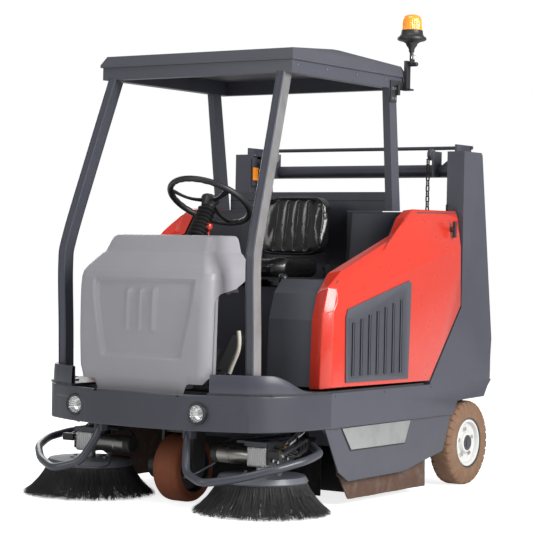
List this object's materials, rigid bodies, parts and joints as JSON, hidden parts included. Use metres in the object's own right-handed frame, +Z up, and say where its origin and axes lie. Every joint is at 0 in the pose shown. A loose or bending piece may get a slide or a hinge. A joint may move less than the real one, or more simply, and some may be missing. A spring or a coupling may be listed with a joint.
{
  "type": "ride-on sweeper",
  "caption": "Ride-on floor sweeper with a driver's seat under a canopy, side brushes, a main broom and a high-lift hopper on a mast.",
  "frame": {"origin": "on the ground under the middle of the machine's box", "axes": "+Z up, the machine drives towards -Y, +X is the driver's left"},
  "size_m": [1.546, 2.0569, 2.219],
  "materials": {
    "charcoal_paint": "satin powder coat",
    "black_paint": "satin",
    "black_plastic": "fine grain",
    "grey_plastic": "rotomoulded, fine grain",
    "roof_plastic": "fine grain",
    "charcoal_plastic": "fine grain",
    "red_plastic": "semi gloss",
    "chrome_trim": "polished",
    "clear_lens": "moulded",
    "amber_lens": "fluted",
    "black_rubber": "matt",
    "brown_rubber": "matt",
    "guard_paint": "satin",
    "cast_aluminium": "as cast",
    "disc_plastic": "smooth",
    "bristle": "bristles",
    "brown_tyre": "solid rubber",
    "tan_tyre": "solid non marking rubber",
    "black_vinyl": "grained vinyl",
    "chain_steel": "oiled"
  },
  "bodies": {
    "chassis": {"main_frame": "charcoal_paint", "front_apron": "charcoal_paint", "side_bands": "charcoal_paint", "floor_platform": "black_plastic", "splash_guards": "charcoal_paint", "nose_cover": "grey_plastic", "dash_panel": "black_plastic", "steering_column": "black_paint", "column_boot": "black_rubber", "cab_body": "charcoal_paint", "seat_base": "black_paint", "front_posts": "charcoal_paint", "rear_posts": "charcoal_paint", "roof_frame": "charcoal_paint", "roof_panel": "roof_plastic", "mast_column_left": "charcoal_paint", "mast_column_right": "charcoal_paint", "headlights": "chrome_trim", "headlight_lenses": "clear_lens", "side_skirts": "charcoal_paint", "rubber_flaps": "brown_rubber", "beacon_bracket": "black_paint", "brush_guards": "guard_paint", "lift_cylinders": "black_paint", "lift_chains": "chain_steel"},
    "steering": {"steering_wheel": "black_plastic"},
    "steer_fork": {"front_fork": "black_paint", "drive_motor": "black_paint"},
    "drive_wheel": {"front_wheel": "brown_tyre"},
    "brush_lift_left": {"brush_arm_left": "charcoal_paint", "brush_motor_left": "cast_aluminium"},
    "brush_lift_right": {"brush_arm_right": "charcoal_paint", "brush_motor_right": "cast_aluminium"},
    "brush_left": {"brush_disc_left": "disc_plastic", "bristles_left": "bristle"},
    "brush_right": {"brush_disc_right": "disc_plastic", "bristles_right": "bristle"},
    "broom_frame": {"broom_arms": "charcoal_paint"},
    "broom": {"main_broom": "bristle"},
    "wheel_left": {"rear_wheel_left": "tan_tyre"},
    "wheel_right": {"rear_wheel_right": "tan_tyre"},
    "cover_left": {"side_cover_left": "red_plastic", "vent_grille_left": "charcoal_plastic"},
    "cover_right": {"side_cover_right": "red_plastic", "vent_grille_right": "charcoal_plastic"},
    "latch_left": {"cover_latch_left": "black_plastic"},
    "latch_right": {"cover_latch_right": "black_plastic"},
    "seat": {"seat_pan": "black_paint", "seat_cushion": "black_vinyl"},
    "seat_back": {"backrest": "black_vinyl"},
    "mast": {"inner_mast": "charcoal_paint", "top_crossbar": "charcoal_paint"},
    "carriage": {"hopper_carriage": "charcoal_paint"},
    "bin": {"hopper_bin": "charcoal_paint"},
    "key": {"ignition_key": "chrome_trim"},
    "accelerator": {"accelerator_pedal": "black_rubber"},
    "brake": {"brake_pedal": "black_rubber"},
    "lever": {"control_lever": "black_plastic"},
    "beacon": {"beacon_stem": "black_plastic", "beacon_dome": "amber_lens"}
  },
  "joints": [
    {"name": "front_steer", "type": "hinge", "parent": "chassis", "child": "steer_fork", "pos_m": [0, -0.6, 0.35], "axis": [0, 0, 1], "range_deg": [-60, 60]},
    {"name": "steering_wheel_turn", "type": "hinge", "parent": "chassis", "child": "steering", "pos_m": [0, -0.44, 1.325], "axis": [0, 0.5, 0.866], "range_deg": [-360, 360]},
    {"name": "drive_wheel_spin", "type": "hinge", "parent": "steer_fork", "child": "drive_wheel", "pos_m": [0, -0.6, 0.15], "axis": [1, 0, 0], "continuous": true},
    {"name": "rear_left_spin", "type": "hinge", "parent": "chassis", "child": "wheel_left", "pos_m": [0.615, 0.826, 0.2025], "axis": [1, 0, 0], "continuous": true},
    {"name": "rear_right_spin", "type": "hinge", "parent": "chassis", "child": "wheel_right", "pos_m": [-0.615, 0.826, 0.2025], "axis": [1, 0, 0], "continuous": true},
    {"name": "brush_left_lift", "type": "hinge", "parent": "chassis", "child": "brush_lift_left", "pos_m": [0.471, -0.395, 0.318], "axis": [-1, 0, 0], "range_deg": [0, 5]},
    {"name": "brush_left_spin", "type": "hinge", "parent": "brush_lift_left", "child": "brush_left", "pos_m": [0.471, -0.673, 0.15], "axis": [0, 0, 1], "continuous": true},
    {"name": "cover_left_open", "type": "hinge", "parent": "chassis", "child": "cover_left", "pos_m": [0.652, 0, 0.537], "axis": [0, 1, 0], "range_deg": [0, 75]},
    {"name": "latch_left_turn", "type": "hinge", "parent": "cover_left", "child": "latch_left", "pos_m": [0.665, 0.59, 1.225], "axis": [1, 0, 0], "range_deg": [0, 90]},
    {"name": "brush_right_lift", "type": "hinge", "parent": "chassis", "child": "brush_lift_right", "pos_m": [-0.471, -0.395, 0.318], "axis": [-1, 0, 0], "range_deg": [0, 5]},
    {"name": "brush_right_spin", "type": "hinge", "parent": "brush_lift_right", "child": "brush_right", "pos_m": [-0.471, -0.673, 0.15], "axis": [0, 0, 1], "continuous": true},
    {"name": "cover_right_open", "type": "hinge", "parent": "chassis", "child": "cover_right", "pos_m": [-0.652, 0, 0.537], "axis": [0, -1, 0], "range_deg": [0, 75]},
    {"name": "latch_right_turn", "type": "hinge", "parent": "cover_right", "child": "latch_right", "pos_m": [-0.665, 0.59, 1.225], "axis": [1, 0, 0], "range_deg": [0, 90]},
    {"name": "broom_lift", "type": "hinge", "parent": "chassis", "child": "broom_frame", "pos_m": [0, 0.5, 0.33], "axis": [-1, 0, 0], "range_deg": [0, 8]},
    {"name": "broom_spin", "type": "hinge", "parent": "broom_frame", "child": "broom", "pos_m": [0, 0.17, 0.16], "axis": [1, 0, 0], "continuous": true},
    {"name": "seat_slide", "type": "slide", "parent": "chassis", "child": "seat", "axis": [0, 1, 0], "range_m": [-0.06, 0.02]},
    {"name": "backrest_tilt", "type": "hinge", "parent": "seat", "child": "seat_back", "pos_m": [0.04, 0.175, 1.03], "axis": [-1, 0, 0], "range_deg": [-12, 12]},
    {"name": "mast_lift", "type": "slide", "parent": "chassis", "child": "mast", "axis": [0, 0, 1], "range_m": [0, 0.45], "deforming": ["lift_chains"]},
    {"name": "carriage_lift", "type": "slide", "parent": "mast", "child": "carriage", "axis": [0, 0, 1], "range_m": [0, 0.45]},
    {"name": "hopper_tip", "type": "hinge", "parent": "carriage", "child": "bin", "pos_m": [0, 0.948, 0.9505], "axis": [1, 0, 0], "range_deg": [0, 60]},
    {"name": "ignition_turn", "type": "hinge", "parent": "chassis", "child": "key", "pos_m": [0.15, -0.645, 0.97], "axis": [0, 1, 0], "range_deg": [0, 60]},
    {"name": "accelerator_press", "type": "hinge", "parent": "chassis", "child": "accelerator", "pos_m": [0.175, -0.56, 0.546], "axis": [1, 0, 0], "range_deg": [0, 15], "stiffness_Nm_per_rad": 4, "springref_deg": -11.46},
    {"name": "brake_press", "type": "hinge", "parent": "chassis", "child": "brake", "pos_m": [0.07, -0.56, 0.546], "axis": [1, 0, 0], "range_deg": [0, 12], "stiffness_Nm_per_rad": 6, "springref_deg": -11.46},
    {"name": "lever_pull", "type": "hinge", "parent": "chassis", "child": "lever", "pos_m": [0.322, -0.3, 0.842], "axis": [1, 0, 0], "range_deg": [-15, 15]},
    {"name": "beacon_fold", "type": "hinge", "parent": "chassis", "child": "beacon", "pos_m": [0.552, 0.372, 1.987], "axis": [-1, 0, 0], "range_deg": [0, 90]}
  ],
  "couplings": [
    {"joint": "steering_wheel_turn", "follows": "front_steer", "ratio": 6},
    {"joint": "carriage_lift", "follows": "mast_lift", "ratio": 1}
  ]
}
